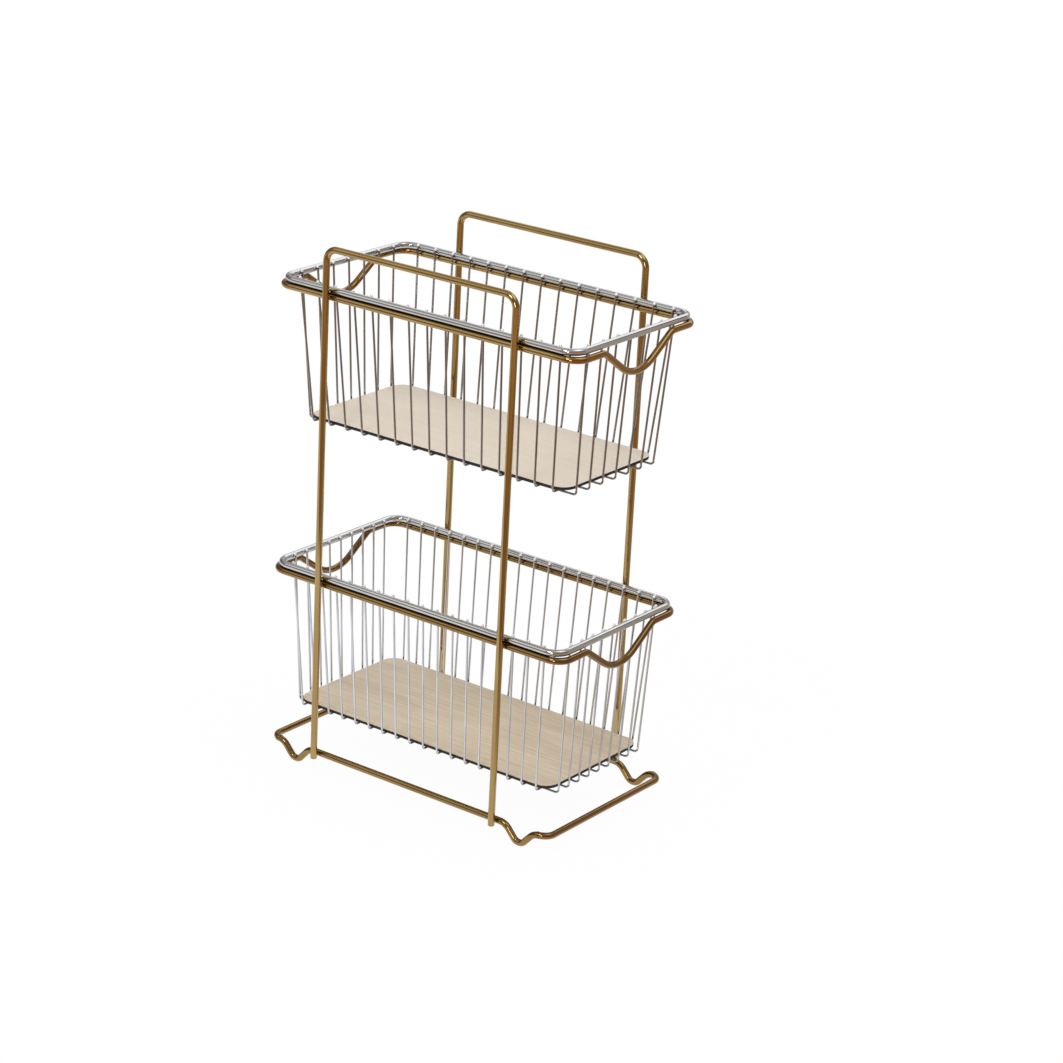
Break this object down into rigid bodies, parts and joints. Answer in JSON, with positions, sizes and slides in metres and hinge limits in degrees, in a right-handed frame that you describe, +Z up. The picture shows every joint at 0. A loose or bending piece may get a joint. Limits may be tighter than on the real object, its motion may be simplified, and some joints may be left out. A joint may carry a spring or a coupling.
{
  "type": "two-tier vegetable rack",
  "caption": "Freestanding welded wire rack with two lift-out rectangular wire baskets hung one over the other in a looped frame on dipped wire feet, each with a loose thin board as its floor.",
  "frame": {"origin": "on the floor, in the middle of the four feet", "axes": "+X along the rack's long side, +Y from the front hoop to the rear hoop, +Z up"},
  "size_m": [0.379, 0.217, 0.564],
  "materials": {
    "frame_gold": "glossy aged-gold plating on steel wire",
    "rim_chrome": "bright chrome on steel wire",
    "upper_wire": "thin bright wire that mirrors its dark surroundings, with small silvery weld beads at the rim",
    "lower_wire": "thin bright wire, paler than the upper basket's",
    "upper_board_wood": "pale birch-like sheet with a dark edge",
    "lower_board_wood": "pale birch-like sheet, a little warmer, with a dark edge"
  },
  "bodies": {
    "frame": {"base_ring": "frame_gold", "front_hoop": "frame_gold", "rear_hoop": "frame_gold", "upper_ring": "frame_gold", "lower_ring": "frame_gold"},
    "upper_basket": {"upper_rim": "rim_chrome", "upper_cross_wire_01": "upper_wire", "upper_cross_wire_02": "upper_wire", "upper_cross_wire_03": "upper_wire", "upper_cross_wire_04": "upper_wire", "upper_cross_wire_05": "upper_wire", "upper_cross_wire_06": "upper_wire", "upper_cross_wire_07": "upper_wire", "upper_cross_wire_08": "upper_wire", "upper_cross_wire_09": "upper_wire", "upper_cross_wire_10": "upper_wire", "upper_cross_wire_11": "upper_wire", "upper_cross_wire_12": "upper_wire", "upper_cross_wire_13": "upper_wire", "upper_cross_wire_14": "upper_wire", "upper_cross_wire_15": "upper_wire", "upper_long_wire_01": "upper_wire", "upper_long_wire_02": "upper_wire", "upper_long_wire_03": "upper_wire", "upper_long_wire_04": "upper_wire", "upper_long_wire_05": "upper_wire", "upper_long_wire_06": "upper_wire", "upper_long_wire_07": "upper_wire"},
    "upper_board": {"upper_board": "upper_board_wood"},
    "lower_basket": {"lower_rim": "rim_chrome", "lower_cross_wire_01": "lower_wire", "lower_cross_wire_02": "lower_wire", "lower_cross_wire_03": "lower_wire", "lower_cross_wire_04": "lower_wire", "lower_cross_wire_05": "lower_wire", "lower_cross_wire_06": "lower_wire", "lower_cross_wire_07": "lower_wire", "lower_cross_wire_08": "lower_wire", "lower_cross_wire_09": "lower_wire", "lower_cross_wire_10": "lower_wire", "lower_cross_wire_11": "lower_wire", "lower_cross_wire_12": "lower_wire", "lower_cross_wire_13": "lower_wire", "lower_cross_wire_14": "lower_wire", "lower_cross_wire_15": "lower_wire", "lower_cross_wire_16": "lower_wire", "lower_cross_wire_17": "lower_wire", "lower_cross_wire_18": "lower_wire", "lower_long_wire_01": "lower_wire", "lower_long_wire_02": "lower_wire", "lower_long_wire_03": "lower_wire", "lower_long_wire_04": "lower_wire", "lower_long_wire_05": "lower_wire", "lower_long_wire_06": "lower_wire", "lower_long_wire_07": "lower_wire", "lower_long_wire_08": "lower_wire", "lower_long_wire_09": "lower_wire"},
    "lower_board": {"lower_board": "lower_board_wood"}
  },
  "joints": [
    {"name": "upper_basket_lift", "type": "slide", "parent": "frame", "child": "upper_basket", "axis": [0, 0, 1], "range_m": [0, 0.22]},
    {"name": "upper_board_lift", "type": "slide", "parent": "upper_basket", "child": "upper_board", "axis": [0, 0, 1], "range_m": [0, 0.17]},
    {"name": "lower_basket_lift", "type": "slide", "parent": "frame", "child": "lower_basket", "axis": [0, 0, 1], "range_m": [0, 0.12]},
    {"name": "lower_board_lift", "type": "slide", "parent": "lower_basket", "child": "lower_board", "axis": [0, 0, 1], "range_m": [0, 0.17]}
  ]
}
